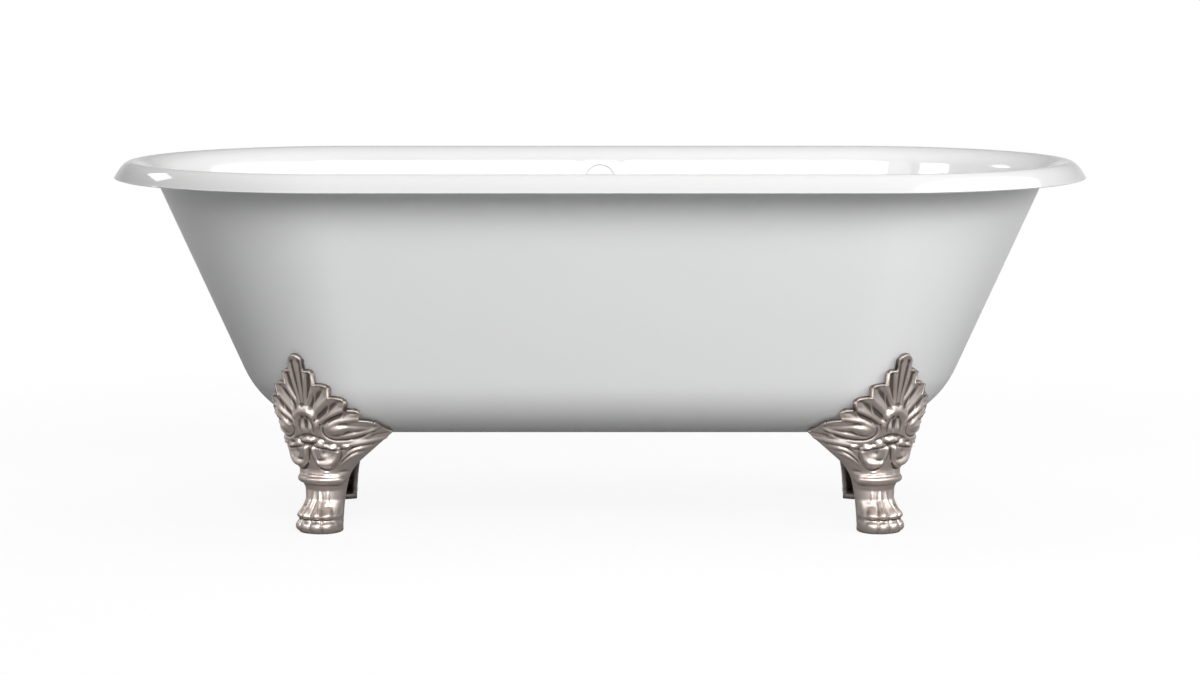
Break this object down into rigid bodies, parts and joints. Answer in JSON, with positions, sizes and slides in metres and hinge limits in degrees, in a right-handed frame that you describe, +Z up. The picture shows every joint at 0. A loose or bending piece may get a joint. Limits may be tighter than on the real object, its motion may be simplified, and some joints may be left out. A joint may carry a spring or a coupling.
{
  "type": "cast iron bathtub",
  "caption": "Freestanding double-ended bath with a flared rolled rim, raised on ornate lion's-paw feet that wrap its corners and hide levelling glides.",
  "frame": {"origin": "on the floor under the middle of the bath", "axes": "+X along the bath, +Y across it towards the side with the overflow, +Z up"},
  "size_m": [1.7, 0.775, 0.631],
  "materials": {
    "white_enamel": "gloss vitreous enamel inside and over the rim, satin white paint outside",
    "foot_metal": "brushed nickel plate",
    "steel": "zinc plated",
    "glide_plastic": "matt black"
  },
  "bodies": {
    "root": {"bath_shell": "white_enamel", "foot_front_left": "foot_metal", "foot_front_right": "foot_metal", "foot_back_left": "foot_metal", "foot_back_right": "foot_metal", "fixing_stud_front_left": "steel", "fixing_stud_front_right": "steel", "fixing_stud_back_left": "steel", "fixing_stud_back_right": "steel", "flat_washer_front_left": "steel", "flat_washer_front_right": "steel", "flat_washer_back_left": "steel", "flat_washer_back_right": "steel", "spring_washer_front_left": "steel", "spring_washer_front_right": "steel", "spring_washer_back_left": "steel", "spring_washer_back_right": "steel", "fixing_nut_front_left": "steel", "fixing_nut_front_right": "steel", "fixing_nut_back_left": "steel", "fixing_nut_back_right": "steel", "levelling_lock_nut_front_left": "steel", "levelling_lock_nut_front_right": "steel", "levelling_lock_nut_back_left": "steel", "levelling_lock_nut_back_right": "steel"},
    "glide_front_left": {"levelling_glide_front_left": "glide_plastic"},
    "screw_front_left": {"levelling_screw_front_left": "steel"},
    "glide_front_right": {"levelling_glide_front_right": "glide_plastic"},
    "screw_front_right": {"levelling_screw_front_right": "steel"},
    "glide_back_left": {"levelling_glide_back_left": "glide_plastic"},
    "screw_back_left": {"levelling_screw_back_left": "steel"},
    "glide_back_right": {"levelling_glide_back_right": "glide_plastic"},
    "screw_back_right": {"levelling_screw_back_right": "steel"}
  },
  "joints": [
    {"name": "levelling_travel_front_left", "type": "slide", "parent": "root", "child": "glide_front_left", "axis": [0, 0, -1], "range_m": [0, 0.012]},
    {"name": "levelling_spin_front_left", "type": "hinge", "parent": "glide_front_left", "child": "screw_front_left", "pos_m": [-0.48179, -0.16376, 0.03], "axis": [0, 0, -1], "range_deg": [0, 3600]},
    {"name": "levelling_travel_front_right", "type": "slide", "parent": "root", "child": "glide_front_right", "axis": [0, 0, -1], "range_m": [0, 0.012]},
    {"name": "levelling_spin_front_right", "type": "hinge", "parent": "glide_front_right", "child": "screw_front_right", "pos_m": [0.48179, -0.16376, 0.03], "axis": [0, 0, -1], "range_deg": [0, 3600]},
    {"name": "levelling_travel_back_left", "type": "slide", "parent": "root", "child": "glide_back_left", "axis": [0, 0, -1], "range_m": [0, 0.012]},
    {"name": "levelling_spin_back_left", "type": "hinge", "parent": "glide_back_left", "child": "screw_back_left", "pos_m": [-0.48179, 0.16376, 0.03], "axis": [0, 0, -1], "range_deg": [0, 3600]},
    {"name": "levelling_travel_back_right", "type": "slide", "parent": "root", "child": "glide_back_right", "axis": [0, 0, -1], "range_m": [0, 0.012]},
    {"name": "levelling_spin_back_right", "type": "hinge", "parent": "glide_back_right", "child": "screw_back_right", "pos_m": [0.48179, 0.16376, 0.03], "axis": [0, 0, -1], "range_deg": [0, 3600]}
  ],
  "couplings": [
    {"joint": "levelling_spin_front_left", "follows": "levelling_travel_front_left", "rad_per_m": 4188.8},
    {"joint": "levelling_spin_front_right", "follows": "levelling_travel_front_right", "rad_per_m": 4188.8},
    {"joint": "levelling_spin_back_left", "follows": "levelling_travel_back_left", "rad_per_m": 4188.8},
    {"joint": "levelling_spin_back_right", "follows": "levelling_travel_back_right", "rad_per_m": 4188.8}
  ]
}
